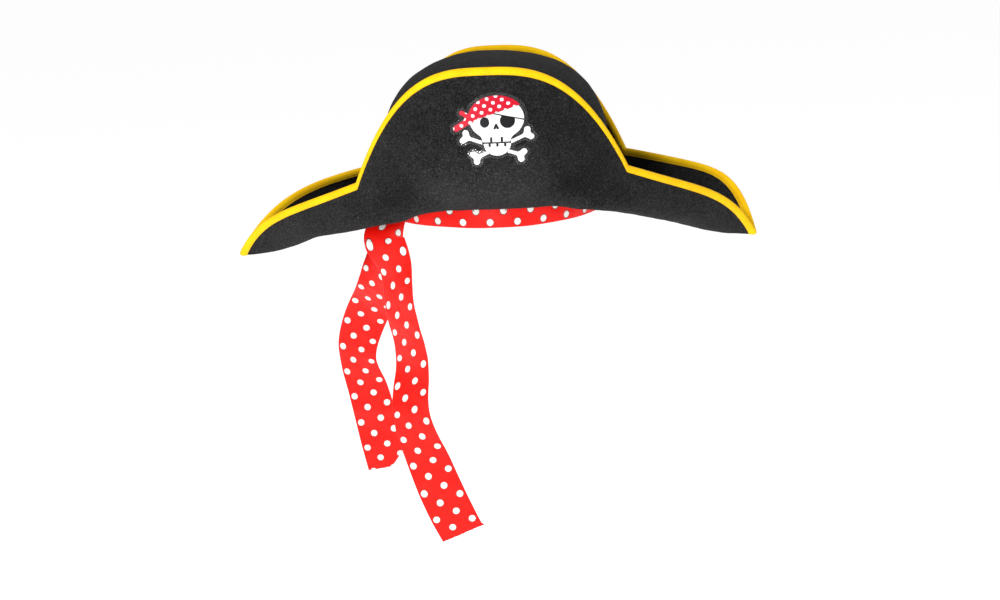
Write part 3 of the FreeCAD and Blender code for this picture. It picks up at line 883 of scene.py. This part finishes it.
class SmoothPath:
    """A natural cubic curve through stations of several numbers each, by length along the chords."""

    def __init__(self, stations: list[tuple[float, ...]]) -> None:
        """Work out the curve.

        Args:
            stations: place in millimetres (three numbers) and any further numbers.
        """
        self.values = np.array(stations, float)
        steps = np.linalg.norm(np.diff(self.values[:, :3], axis=0), axis=1)
        self.knots = np.concatenate([[0.0], np.cumsum(steps)])
        self.length = float(self.knots[-1])
        count = len(self.knots)
        system = np.eye(count)
        right = np.zeros_like(self.values)
        for i in range(1, count - 1):
            before, after = steps[i - 1], steps[i]
            system[i, i - 1:i + 2] = before, 2 * (before + after), after
            slope_after = (self.values[i + 1] - self.values[i]) / after
            slope_before = (self.values[i] - self.values[i - 1]) / before
            right[i] = 6 * (slope_after - slope_before)
        self.bends = np.linalg.solve(system, right)

    def at(self, length: Array) -> Array:
        """Return the numbers at lengths along the curve, one row each."""
        i = np.clip(np.searchsorted(self.knots, length) - 1, 0, len(self.knots) - 2)
        span = column(self.knots[i + 1] - self.knots[i])
        a, b = column(self.knots[i + 1] - length), column(length - self.knots[i])
        bent = (self.bends[i] * a ** 3 + self.bends[i + 1] * b ** 3) / (6 * span)
        low = (self.values[i] / span - self.bends[i] * span / 6) * a
        high = (self.values[i + 1] / span - self.bends[i + 1] * span / 6) * b
        return bent + low + high


@dataclass
class Ribbon:
    """The dotted ribbon: its band round the head opening and its two hanging tails."""

    form: HatForm
    width: float = 35 * MM
    cloth: float = 0.35 * MM
    band_inset: float = 3.2 * MM
    band_top: float = 15.0 * MM
    band_bottom: float = -16.5 * MM
    level_root: float = 30.0
    curl_radius: float = 2.2 * MM
    rise: float = 8.5
    stitches: int = 96
    band_repeats: int = 27
    cupping: float = 1.2 * MM
    buckle: float = 0.9 * MM
    sway: float = 2.4 * MM
    edge_wave: float = 0.25 * MM
    skew_from: float = 0.04
    skew_to: float = 0.20
    skew_ease: float = 0.05
    fold_limit: float = 2.7
    front: list[tuple[float, ...]] = field(default_factory=lambda: [
        (-73.0, -61.4, -12.0, 53.0),
        (-78.5, -62.0, -18.0, 38.0),
        (-83.5, -63.0, -26.0, 24.0),
        (-80.0, -66.0, -40.0, 28.0),
        (-75.5, -68.0, -60.0, 42.0),
        (-70.5, -70.0, -90.0, 44.0),
        (-68.0, -72.0, -124.0, 40.0),
        (-68.5, -72.0, -152.0, 34.0),
        (-66.5, -72.0, -174.0, 26.0),
        (-61.0, -72.0, -198.0, 14.0),
        (-49.5, -72.0, -229.0, 0.0),
        (-33.0, -72.0, -267.0, 0.0),
    ])
    rear: list[tuple[float, ...]] = field(default_factory=lambda: [
        (-89.7, -26.3, -10.0, 75.5),
        (-91.5, -25.0, -28.0, 72.0),
        (-92.5, -17.0, -52.0, 55.0),
        (-96.0, -6.0, -78.0, 34.0),
        (-107.5, 14.0, -104.0, 20.0),
        (-119.5, 32.0, -136.0, 22.0),
        (-120.0, 38.0, -157.0, 20.0),
        (-115.0, 42.0, -184.0, 5.0),
        (-108.5, 42.0, -212.0, 0.0),
        (-101.5, 42.0, -249.0, 0.0),
    ])

    def frame_at(self, path: SmoothPath, length: Array) -> tuple[Array, Array, Array]:
        """Return the middles, the directions of the width and the runs of a tail at lengths."""
        here = path.at(length)
        run = unit(path.at(np.minimum(path.length, length + 0.5))[:, :3]
                   - path.at(np.maximum(0.0, length - 0.5))[:, :3])
        turn = column(np.radians(here[:, 3]))
        level = unit(np.array([1.0, 0.0, 0.0]) - run * column(run[:, 0]))
        width = level * np.cos(turn) + np.cross(run, level) * np.sin(turn)
        width[:, 2] *= ease(length / self.level_root)
        return here[:, :3] * MM, unit(width), run

    def tail(self, name: str, stations: list[tuple[float, ...]], node: str,
             phase: float, curl: float, lean: float) -> bpy.types.Object:
        """Build one hanging end of the ribbon.

        Args:
            name: the piece's name.
            stations: its middle line and the turn of its width.
            node: the CAD node it stands for.
            phase: how far the print is moved along the ribbon, in metres.
            curl: how far up and across the lower corner rolls back, in metres.
            lean: how far the weave is pulled askew in its middle stretch, as a slope.
        """
        path = SmoothPath(stations)

        def place(across: Array, along: Array) -> Array:
            """Return the places of points from their shares across and along."""
            length = (path.length + self.rise) * along - self.rise
            middle, width, run = self.frame_at(path, np.maximum(length, 0.0))
            middle[:, 2] -= np.minimum(length, 0.0) * MM
            normal = np.cross(run, width)
            side = (across - 0.5) * self.width
            flat = points(side * 0.6, length * MM, phase)
            cup = (0.25 - (across - 0.5) ** 2 * 2.0) * self.cupping * ease(length / 40)
            ripple = wobble(flat, 16 * MM, 2.0) * self.buckle * ease(length / 25)
            ripple += self.sway * np.sin(length / 13.5 + phase / MM) * ease((length - 15) / 40)
            edge_wave = wobble(flat, 7 * MM, 5.0) * self.edge_wave
            spots = middle + width * column(side) + normal * column(cup + ripple + edge_wave)
            if not curl:
                return spots
            fold = (width + run) / math.sqrt(2)
            past = 1.0 - (0.5 * self.width - side) / curl - (path.length - length) * MM / curl
            reach = np.maximum(past, 0.0) * curl / math.sqrt(2)
            turn = np.minimum(reach / self.curl_radius, self.fold_limit)
            straight = reach - turn * self.curl_radius
            slide = self.curl_radius * np.sin(turn) + straight * np.cos(turn)
            drop = self.curl_radius * (1 - np.cos(turn)) + straight * np.sin(turn)
            return spots - fold * column(reach - slide) - normal * column(drop)

        whole = (path.length + self.rise) * MM
        mesh = mapped_grid(28, int(path.length / 1.25), (self.width, whole), place)
        self.fray(mesh, whole)

        def skewed(u: float, v: float) -> float:
            """Return the place along the cloth once the weave is pulled askew."""
            pulled = ease((v - self.skew_from) / self.skew_ease) * ease((self.skew_to - v) / self.skew_ease)
            return v + phase + lean * pulled * (u - self.width / 2)

        move_print(mesh, skewed)
        piece = finished(mesh, name, Finish.SATIN, None, [node], self.cloth)
        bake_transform(piece)
        return piece

    def fray(self, mesh: bmesh.types.BMesh, length: float) -> None:
        """Make the cut end slightly ragged, with a little point at its outer corner."""
        layer = mesh.loops.layers.uv["cloth"]
        dice = random.Random(11)
        moved = set()
        for face in mesh.faces:
            for loop in face.loops:
                u, v = loop[layer].uv
                if v < length - 0.2 * MM or loop.vert in moved:
                    continue
                moved.add(loop.vert)
                corner = max(0.0, 1.0 - (self.width - u) / (4 * MM))
                loop.vert.co += Vector((1.8 * MM * corner, 0, dice.uniform(-0.25, 0.20) * MM))

    def band(self) -> bpy.types.Object:
        """Build the ribbon's turn round the inside of the head opening, gathered at its top."""
        form = self.form
        height = self.band_top - self.band_bottom
        around = 2 * math.pi * math.sqrt((form.half_width ** 2 + form.half_depth ** 2) / 2)

        def place(across: Array, along: Array) -> Array:
            """Return the places of points from their shares across and along."""
            angle = math.pi / 2 - 2 * math.pi * along
            circle = points(np.cos(angle), np.sin(angle), 0.0)
            gather = ease((across - 0.25) / 0.5)
            pleat = wobble(circle, 0.085, 4.0) + 0.5 * wobble(circle, 0.035, 9.0)
            roll = 0.8 * MM * (1 - ease(across / 0.22))
            inset = self.band_inset + gather * (pleat + 0.5) * MM + roll
            sway = 0.6 * MM * wobble(circle, 0.3, 5.5) * (1 - across)
            return form.oval(angle, inset, self.band_bottom + height * across + sway)

        mesh = mapped_grid(18, 480, (self.width * 0.9, around), place, ring=True)
        printed = self.band_repeats * Finish.SATIN.value.pitch / around
        move_print(mesh, lambda u, v: round(v * printed, 7))
        piece = finished(mesh, "ribbon_turn", Finish.SATIN, "hat", ["ribbon_band"], self.cloth)
        return piece

    def threads(self) -> None:
        """Build the running stitches of the band."""
        form = self.form
        run = StitchRun("band_running_stitches", Finish.RED_THREAD, 0.25 * MM)
        angle = 2 * math.pi * np.arange(self.stitches) / self.stitches
        spots = form.oval(angle, self.band_inset + 0.9 * MM, self.band_top - 4 * MM)
        ahead = form.oval(angle + 0.01, self.band_inset + 0.9 * MM, self.band_top - 4 * MM)
        inward = -points(np.cos(angle), np.sin(angle), 0.0)
        run.add(spots, unit(ahead - spots), inward, 3.6 * MM)
        run.build("hat", ["band_stitches"])

    def build(self) -> None:
        """Build the band, the tails and the band's thread."""
        self.band()
        self.tail("front_ribbon_tail", self.front, "ribbon_tail_front", 2 * MM, 0.0, 0.40)
        self.tail("rear_ribbon_tail", self.rear, "ribbon_tail_rear", 9 * MM, 17 * MM, 0.10)
        self.threads()


# ---------------------------------------------------------------- badge

Shape = Callable[[Array, Array], Array]


def oval_shape(x: float, z: float, rx: float, rz: float) -> Shape:
    """Return an oval: a function that is under 0 inside and the distance outside, in millimetres."""
    def shape(px: Array, pz: Array) -> Array:
        """Return the shape\'s value at points."""
        scaled = np.hypot((px - x) / rx, (pz - z) / rz)
        return (scaled - 1.0) * min(rx, rz)
    return shape


def rod_shape(x0: float, z0: float, x1: float, z1: float, r: float) -> Shape:
    """Return a straight bar with round ends."""
    def shape(px: Array, pz: Array) -> Array:
        """Return the shape\'s value at points."""
        dx, dz = x1 - x0, z1 - z0
        t = np.clip(((px - x0) * dx + (pz - z0) * dz) / (dx * dx + dz * dz), 0, 1)
        return np.hypot(px - x0 - t * dx, pz - z0 - t * dz) - r
    return shape


def block_shape(x0: float, z0: float, x1: float, z1: float, round_off: float = 0.0) -> Shape:
    """Return an upright rectangle with rounded corners."""
    def shape(px: Array, pz: Array) -> Array:
        """Return the shape\'s value at points."""
        qx = np.abs(px - (x0 + x1) / 2) - abs(x1 - x0) / 2 + round_off
        qz = np.abs(pz - (z0 + z1) / 2) - abs(z1 - z0) / 2 + round_off
        outside = np.hypot(np.maximum(qx, 0), np.maximum(qz, 0))
        return outside + np.minimum(np.maximum(qx, qz), 0) - round_off
    return shape


def half_shape(x: float, z: float, nx: float, nz: float) -> Shape:
    """Return everything on the far side of a line, against its normal."""
    size = math.hypot(nx, nz)

    def shape(px: Array, pz: Array) -> Array:
        """Return the shape\'s value at points."""
        return ((px - x) * nx + (pz - z) * nz) / size
    return shape


def joined(*shapes: Shape, soft: float = 0.0) -> Shape:
    """Return the shapes together, with their inner corners filled in by soft."""
    def shape(px: Array, pz: Array) -> Array:
        """Return the shape\'s value at points."""
        result = shapes[0](px, pz)
        for other in shapes[1:]:
            value = other(px, pz)
            if soft > 0:
                h = np.clip(0.5 + 0.5 * (value - result) / soft, 0, 1)
                result = value * (1 - h) + result * h - soft * h * (1 - h)
            else:
                result = np.minimum(result, value)
        return result
    return shape


def cut(first: Shape, *others: Shape) -> Shape:
    """Return the first shape without the others."""
    def shape(px: Array, pz: Array) -> Array:
        """Return the shape\'s value at points."""
        result = first(px, pz)
        for other in others:
            result = np.maximum(result, -other(px, pz))
        return result
    return shape


def both(first: Shape, second: Shape) -> Shape:
    """Return what lies in both shapes."""
    def shape(px: Array, pz: Array) -> Array:
        """Return the shape\'s value at points."""
        return np.maximum(first(px, pz), second(px, pz))
    return shape


def grown(first: Shape, by: float) -> Shape:
    """Return a shape grown by a distance."""
    def shape(px: Array, pz: Array) -> Array:
        """Return the shape\'s value at points."""
        return first(px, pz) - by
    return shape


def bone_shape(x0: float, z0: float, x1: float, z1: float) -> Shape:
    """Return a bone: a shaft with two knobs at each end."""
    length = math.hypot(x1 - x0, z1 - z0)
    ux, uz = (x1 - x0) / length, (z1 - z0) / length
    parts = [rod_shape(x0, z0, x1, z1, 1.25)]
    for x, z, way in ((x0, z0, -1), (x1, z1, 1)):
        for side in (1, -1):
            tip_x = x + (ux * way * 1.7 - uz * side * 3.0)
            tip_z = z + (uz * way * 1.7 + ux * side * 3.0)
            parts.append(rod_shape(x, z, tip_x, tip_z, 2.15))
    return joined(*parts, soft=1.2)


@dataclass
class Badge:
    """A die-cut film on the front flap, printed with a plain skull, crossed bones and a dotted kerchief."""

    form: HatForm
    x: float = 7.2
    z: float = 61.5
    scale: tuple[float, float] = (1.03, 0.95)
    cell: float = 0.34
    base: float = 1.30
    film: float = 0.40
    ink: float = 0.16
    top_ink: float = 0.06
    gap: float = 0.02
    margin: float = 2.3
    half_sheet: tuple[float, float] = (37.0, 33.0)

    def on_flap(self, x: Array, z: Array, lift: float) -> Array:
        """Return the places over the front flap at x and z, in millimetres, lifted off the felt's middle."""
        form = self.form
        angle = -np.arccos(np.clip(x * MM / form.wing_reach, -1.0, 1.0))
        share = np.full_like(angle, 0.75)
        step = 1e-4
        for _ in range(8):
            here = form.brim(angle, share)
            by_angle = (form.brim(angle + step, share) - here) / step
            by_share = (form.brim(angle, share + step) - here) / step
            gap_x, gap_z = x * MM - here[:, 0], z * MM - here[:, 2]
            size = by_angle[:, 0] * by_share[:, 2] - by_share[:, 0] * by_angle[:, 2]
            angle = angle + (gap_x * by_share[:, 2] - by_share[:, 0] * gap_z) / size
            share = share + (by_angle[:, 0] * gap_z - gap_x * by_angle[:, 2]) / size
        return form.brim(angle, share) + form.brim_normal(angle, share) * lift * MM

    def spread(self, flat: Array) -> tuple[Array, Array]:
        """Return the places on the flap, in millimetres, of points of the flat drawing."""
        return self.x + self.scale[0] * flat[:, 0], self.z + self.scale[1] * flat[:, 1]

    def slab(self, name: str, shape: Shape, finish: Finish, node: str, lift: float, thick: float) -> None:
        """Build one flat layer of the badge and lay it over the flap.

        Args:
            name: the piece's name.
            shape: its outline.
            finish: its finish.
            node: the CAD node it stands for.
            lift: its lower face's height over the felt's middle, in millimetres.
            thick: its thickness in millimetres.
        """
        mesh = bmesh.new()
        half_x, half_z = self.half_sheet
        columns, rows = int(2 * half_x / self.cell), int(2 * half_z / self.cell)
        bmesh.ops.create_grid(mesh, x_segments=columns, y_segments=rows, size=1.0)
        px = np.array([v.co.x for v in mesh.verts]) * half_x
        pz = np.array([v.co.y for v in mesh.verts]) * half_z
        for _ in range(2):
            value = shape(px, pz)
            step = 0.02
            gx = (shape(px + step, pz) - shape(px - step, pz)) / (2 * step)
            gz = (shape(px, pz + step) - shape(px, pz - step)) / (2 * step)
            size = np.maximum(gx * gx + gz * gz, 0.25)
            near = np.abs(value) < 0.5 * self.cell
            px = np.where(near, px - value * gx / size, px)
            pz = np.where(near, pz - value * gz / size, pz)
        for vertex, x, z in zip(mesh.verts, px, pz):
            vertex.co = (x, z, 0.0)
        centres = [face.calc_center_median() for face in mesh.faces]
        inside = shape(np.array([c.x for c in centres]), np.array([c.y for c in centres]))
        outside = [face for face, value in zip(mesh.faces, inside) if value > 0]
        bmesh.ops.delete(mesh, geom=outside, context="FACES")
        bmesh.ops.dissolve_degenerate(mesh, dist=1e-4, edges=mesh.edges)
        flat = np.array([vertex.co[:2] for vertex in mesh.verts], float)
        for vertex, spot in zip(mesh.verts, self.on_flap(*self.spread(flat), lift)):
            vertex.co = spot
        bmesh.ops.recalc_face_normals(mesh, faces=mesh.faces)
        if sum(face.normal.y for face in mesh.faces) > 0:
            bmesh.ops.reverse_faces(mesh, faces=mesh.faces)
        finished(mesh, name, finish, "hat", [node], thick * MM, 1.0, sharp=60.0)

    def build(self) -> None:
        """Build the badge from its outlines."""
        face = joined(oval_shape(1.8, 8.0, 19.0, 15.5), block_shape(-8.6, -9.0, 11.2, 2.0, 1.2), soft=2.5)
        band_line = half_shape(-1.0, 11.6, 0.30, -0.95)
        cap = both(oval_shape(1.6, 9.3, 19.6, 15.8), band_line)
        ends = joined(
            rod_shape(-17.0, 7.5, -26.5, 1.6, 2.3),
            rod_shape(-16.5, 9.5, -22.5, 13.0, 1.7),
            oval_shape(-17.6, 7.6, 3.2, 3.0), soft=1.2)
        kerchief = joined(cap, ends, soft=0.6)
        jaw = both(oval_shape(1.8, -10.2, 9.4, 9.0), half_shape(0.0, -10.2, 0.0, 1.0))
        skull = joined(cut(face, grown(kerchief, 0.15)), jaw)
        bones = joined(bone_shape(-19.5, -5.2, 17.5, -19.2), bone_shape(22.5, -4.2, -12.5, -20.0))
        bones = cut(bones, grown(skull, 0.25), grown(kerchief, 0.3), block_shape(-8.8, -10.6, 11.4, -8.6))
        eye = oval_shape(-6.6, 5.6, 3.3, 3.9)
        patch = both(oval_shape(9.3, 6.4, 5.3, 5.6), half_shape(9.3, 9.4, 0.24, 1.0))
        strap = both(rod_shape(-1.2, 12.0, 21.0, 6.6, 0.45), oval_shape(1.8, 8.0, 19.2, 15.7))
        nose = joined(rod_shape(1.3, 3.6, 0.3, 1.0, 0.85), rod_shape(1.3, 3.6, 2.4, 1.0, 0.85))
        gaps = [block_shape(x - 0.8, -9.2, x + 0.8, -5.4, 0.4) for x in (-2.4, 5.0)]
        gaps += [block_shape(x - 0.8, -12.6, x + 0.8, -10.0, 0.4) for x in (-3.6, 1.8, 7.2)]
        marks = both(joined(eye, patch, strap, nose, *gaps), grown(joined(skull, kerchief), 0.05))
        marks = cut(marks, grown(kerchief, 0.05))
        spots = []
        for row in range(-3, 5):
            for place in range(-6, 7):
                x = 2.0 + 6.2 * (place + row / 2) - 1.2 * row
                z = 12.0 + 3.9 * row + 2.1 * (place + row / 2)
                spots.append(oval_shape(x, z, 1.25, 1.25))
        dots = both(joined(*spots), grown(kerchief, -0.15))
        art = joined(skull, kerchief, bones, block_shape(-8.8, -11.0, 11.4, -8.0))
        base, ink = self.base, self.base + self.film + self.gap
        top = ink + self.ink + self.gap
        margin = grown(art, self.margin)
        self.slab("badge_clear_film", margin, Finish.FILM, "badge_film", base, self.film)
        self.slab("badge_white_skull", skull, Finish.WHITE_INK, "badge_skull", ink, self.ink)
        self.slab("badge_white_bones", bones, Finish.WHITE_INK, "badge_bones", ink, self.ink)
        self.slab("badge_red_kerchief", kerchief, Finish.RED_INK, "badge_kerchief", ink, self.ink)
        self.slab("badge_white_dots", dots, Finish.WHITE_INK, "badge_kerchief_dots", top, self.top_ink)
        self.slab("badge_black_marks", marks, Finish.BLACK_INK, "badge_features", top, self.top_ink)


# ---------------------------------------------------------------- small CAD pieces that stay

@dataclass
class CarriedOver:
    """CAD nodes whose shape is right, and which only get a better finish."""

    finishes: dict[str, Finish] = field(default_factory=lambda: {
        "crown_seam_stitches": Finish.BLACK_THREAD,
        "tail_tack_front": Finish.RED_THREAD,
        "tail_tack_rear": Finish.RED_THREAD,
    })

    def build(self) -> None:
        """Put each finish on its node."""
        for node, finish in self.finishes.items():
            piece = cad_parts[node]
            for slot in piece.material_slots:
                slot.material = finish.material()
            LOG.info("%s: finish %s", node, finish.value.name)


@dataclass
class CareLabel:
    """The blank label behind the band, with a slight ripple across it that grows towards its lower end."""

    form: HatForm
    inset: float = 5.1 * MM
    half_turn: float = 0.14
    size: tuple[float, float] = (26 * MM, 30 * MM)
    top: float = 18 * MM
    curl: float = 0.8 * MM

    def build(self) -> None:
        """Build the label."""
        form = self.form

        def place(across: Array, along: Array) -> Array:
            """Return the places of points from their shares across and along."""
            angle = math.pi / 2 + (across - 0.5) * 2 * self.half_turn
            curl = self.curl * np.sin(across * math.pi * 2) * along ** 2
            return form.oval(angle, self.inset + curl, self.top - self.size[1] * along)

        mesh = mapped_grid(24, 28, self.size, place)
        piece = finished(mesh, "blank_label", Finish.LABEL, "hat", ["care_label"], 0.25 * MM)


# ---------------------------------------------------------------- studio

@dataclass
class Studio:
    """The camera, the soft lights and the pale floor."""

    distance: float = 1.5
    elevation: float = 10.4
    heading: float = 2.6
    pitch: float = 13.95
    roll: float = 2.35
    sensor: float = 36.0
    lens: float = 1885 * 36 / 1000
    aside: float = 1.0 / 1885
    floor_z: float = -0.62
    floor_size: float = 40.0
    floor_glow: float = 0.62
    sky: float = 0.42
    lights: tuple[tuple[str, Colour, tuple[float, float], float], ...] = (
        ("key_light", (-0.9, -1.6, 1.1), (0.45, 0.45), 30.0),
        ("fill_light", (1.3, -1.5, 0.35), (0.5, 0.9), 7.0),
        ("front_light", (-0.30, -1.95, 0.12), (0.40, 0.18), 11.0),
        ("rear_light", (0.6, 1.6, 1.2), (0.8, 0.8), 12.0),
    )

    def camera(self) -> None:
        """Place the camera in front of the hat, a little above it."""
        rise, turn = math.radians(self.elevation), math.radians(self.heading)
        spot = Vector((math.cos(rise) * math.sin(turn), -math.cos(rise) * math.cos(turn), math.sin(rise)))
        aim = turn - math.atan(self.aside)
        pitch = math.radians(self.pitch)
        ahead = Vector((-math.sin(aim) * math.cos(pitch), math.cos(aim) * math.cos(pitch), -math.sin(pitch)))
        right = ahead.cross(Vector((0, 0, 1))).normalized()
        up = right.cross(ahead)
        tilt = math.radians(self.roll)
        side = right * math.cos(tilt) - up * math.sin(tilt)
        top = right * math.sin(tilt) + up * math.cos(tilt)
        data = bpy.data.cameras.new("camera")
        data.lens = self.lens
        data.sensor_width = self.sensor
        camera = bpy.data.objects.new("camera", data)
        rotation = Matrix((side, top, -ahead)).transposed().to_4x4()
        camera.matrix_world = Matrix.Translation(spot * self.distance) @ rotation
        bpy.context.scene.collection.objects.link(camera)
        bpy.context.scene.camera = camera

    def light(self, name: str, spot: Vector, size: tuple[float, float], power: float) -> None:
        """Add one soft rectangular light that looks from spot to the hat."""
        data = bpy.data.lights.new(name, "AREA")
        data.shape = "RECTANGLE"
        data.size, data.size_y = size
        data.energy = power
        lamp = bpy.data.objects.new(name, data)
        turn = (-spot).to_track_quat("-Z", "Y").to_matrix().to_4x4()
        lamp.matrix_world = Matrix.Translation(spot) @ turn
        bpy.context.scene.collection.objects.link(lamp)

    def build(self) -> None:
        """Build the whole studio."""
        self.camera()
        world = bpy.data.worlds.new("studio")
        bpy.context.scene.world = world
        world.use_nodes = True
        background = world.node_tree.nodes["Background"]
        background.inputs[0].default_value = (1.0, 1.0, 1.0, 1.0)
        background.inputs[1].default_value = self.sky
        bpy.context.scene.view_settings.view_transform = "Standard"
        for name, spot, size, power in self.lights:
            self.light(name, Vector(spot), size, power)
        mesh = bmesh.new()
        bmesh.ops.create_grid(mesh, x_segments=2, y_segments=2, size=self.floor_size)
        bmesh.ops.translate(mesh, verts=mesh.verts, vec=(0, 0, self.floor_z))
        data = bpy.data.meshes.new("floor")
        mesh.to_mesh(data)
        mesh.free()
        floor = bpy.data.objects.new("floor", data)
        graph = Graph("pale_floor")
        graph.set(Base_Color=(0.85, 0.85, 0.85), Roughness=0.9, Specular_IOR_Level=0.1,
                  Emission_Color=(1.0, 1.0, 1.0), Emission_Strength=self.floor_glow)
        data.materials.append(graph.material)
        bpy.context.scene.collection.objects.link(floor)


def main() -> None:
    """Build the hat's looks and the studio."""
    form = HatForm()
    for part in (Studio(), FeltBody(form), EdgeTape(form), Ribbon(form), Badge(form), CareLabel(form),
                 CarriedOver()):
        LOG.info("building %s", type(part).__name__)
        part.build()


if __name__ == "__main__":
    main()
